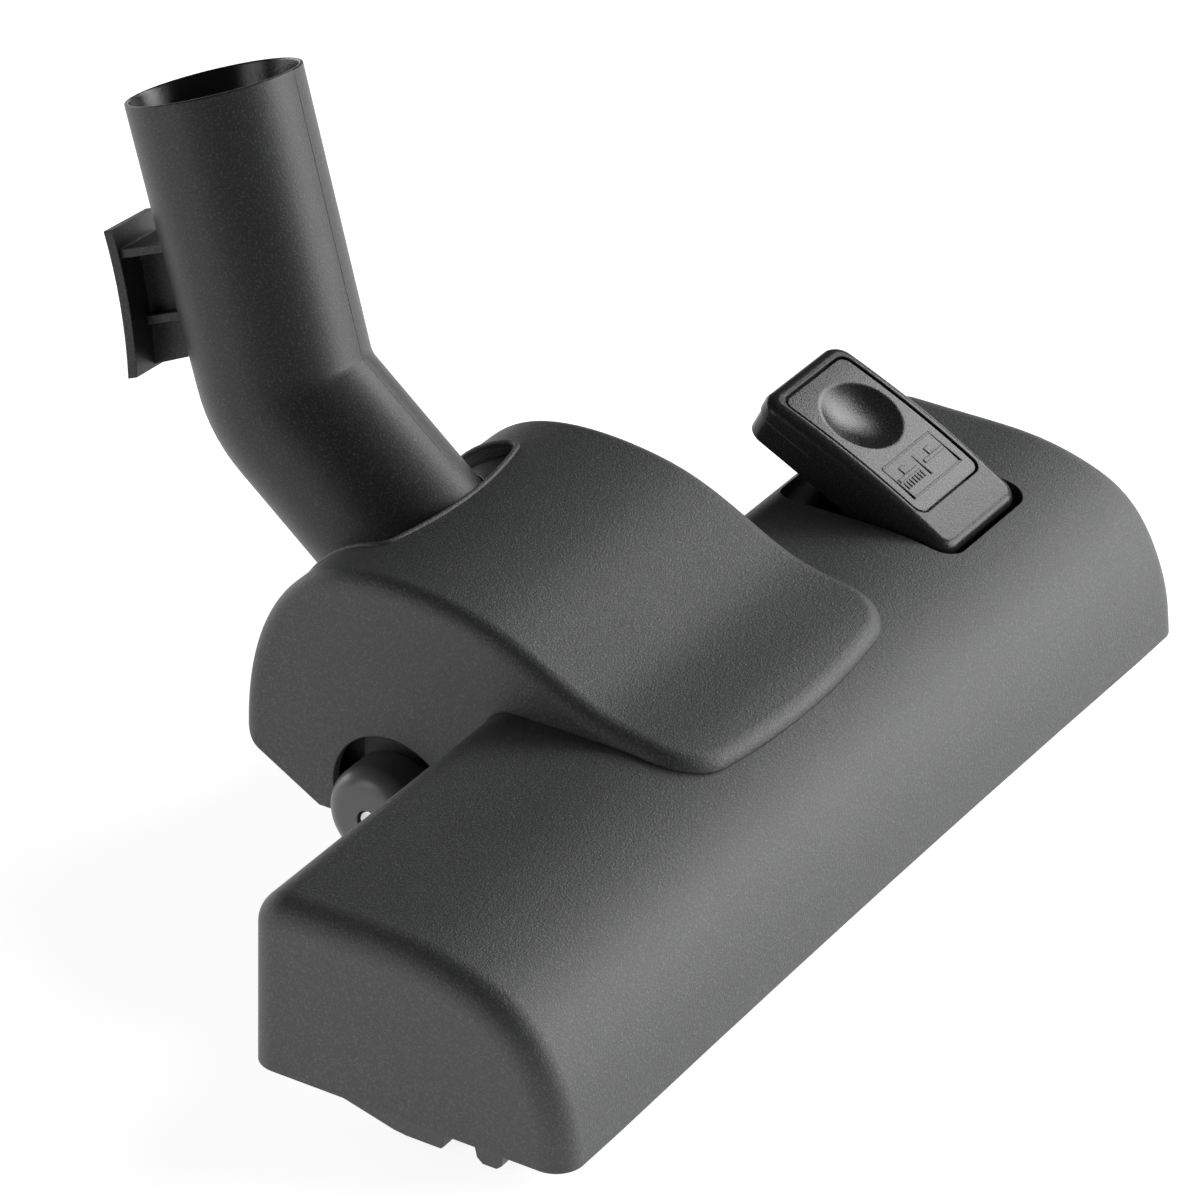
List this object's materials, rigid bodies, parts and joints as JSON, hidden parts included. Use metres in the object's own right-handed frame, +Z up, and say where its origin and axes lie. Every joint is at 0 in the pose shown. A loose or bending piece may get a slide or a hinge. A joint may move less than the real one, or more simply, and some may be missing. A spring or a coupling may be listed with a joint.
{
  "type": "vacuum floor brush head",
  "caption": "Wide floor head with a sloping toe pedal, a humped neck cover with rear wheels, lifting brushes and a turning elbow tube with a park hook.",
  "frame": {"origin": "on the floor, under the middle of the head's length, at the line of the guide posts", "axes": "+X along the head, +Y towards the wheels and the neck, +Z up"},
  "size_m": [0.265, 0.2046, 0.1553],
  "materials": {
    "shell": "fine grained, moulded",
    "cover": "fine grained, moulded",
    "rear_shell": "plain moulded",
    "sole": "smooth, worn by sliding",
    "inner_plastic": "plain moulded",
    "brush_back": "plain moulded",
    "bristle": "nylon filament",
    "velvet": "short pile",
    "pedal_gloss": "satin gloss",
    "pedal_grain": "fine grained",
    "steel": "drawn rod",
    "spring_steel": "spring wire",
    "knuckle_plastic": "satin",
    "tube_satin": "satin",
    "seal_rubber": "matt",
    "wheel_plastic": "turned and moulded, satin",
    "axle_steel": "bright",
    "screw_steel": "zinc plated"
  },
  "bodies": {
    "base": {"head_housing": "shell", "neck_cover": "cover", "soleplate": "sole", "left_lint_strip": "velvet", "right_lint_strip": "velvet", "air_duct": "inner_plastic", "rear_housing": "rear_shell", "drum_seal": "seal_rubber", "shaft_caps": "inner_plastic", "left_axle": "axle_steel", "right_axle": "axle_steel", "sole_screws": "screw_steel", "cover_screws": "screw_steel"},
    "pedal": {"pedal": "pedal_gloss", "pedal_panel": "pedal_grain", "lift_shaft": "steel"},
    "carrier": {"brush_carrier": "inner_plastic", "front_brush_backing": "brush_back", "rear_brush_backing": "brush_back", "front_bristles": "bristle", "rear_bristles": "bristle", "carrier_springs": "spring_steel"},
    "knuckle": {"knuckle": "knuckle_plastic"},
    "elbow": {"elbow_tube": "tube_satin", "swivel_ring": "inner_plastic", "swivel_seal": "seal_rubber"},
    "left_wheel": {"left_wheel": "wheel_plastic"},
    "right_wheel": {"right_wheel": "wheel_plastic"}
  },
  "joints": [
    {"name": "pedal_rock", "type": "hinge", "parent": "base", "child": "pedal", "pos_m": [0.0885, 0.01, 0.039], "axis": [1, 0, 0], "range_deg": [-20, 0]},
    {"name": "carrier_slide", "type": "slide", "parent": "base", "child": "carrier", "axis": [0, 0, 1], "range_m": [-0.0062, 0], "deforming": ["carrier_springs"]},
    {"name": "neck_tilt", "type": "hinge", "parent": "base", "child": "knuckle", "pos_m": [0, 0.068, 0.0387], "axis": [1, 0, 0], "range_deg": [-35, 0]},
    {"name": "elbow_swivel", "type": "hinge", "parent": "knuckle", "child": "elbow", "pos_m": [0, 0.068, 0.0387], "axis": [0, 0.766, 0.6428], "range_deg": [-103.2, 76.8]},
    {"name": "left_wheel_spin", "type": "hinge", "parent": "base", "child": "left_wheel", "pos_m": [-0.0452, 0.063, 0.012], "axis": [1, 0, 0], "continuous": true},
    {"name": "right_wheel_spin", "type": "hinge", "parent": "base", "child": "right_wheel", "pos_m": [0.0452, 0.063, 0.012], "axis": [1, 0, 0], "continuous": true}
  ],
  "couplings": [
    {"joint": "carrier_slide", "follows": "pedal_rock", "m_per_rad": 0.01773}
  ]
}
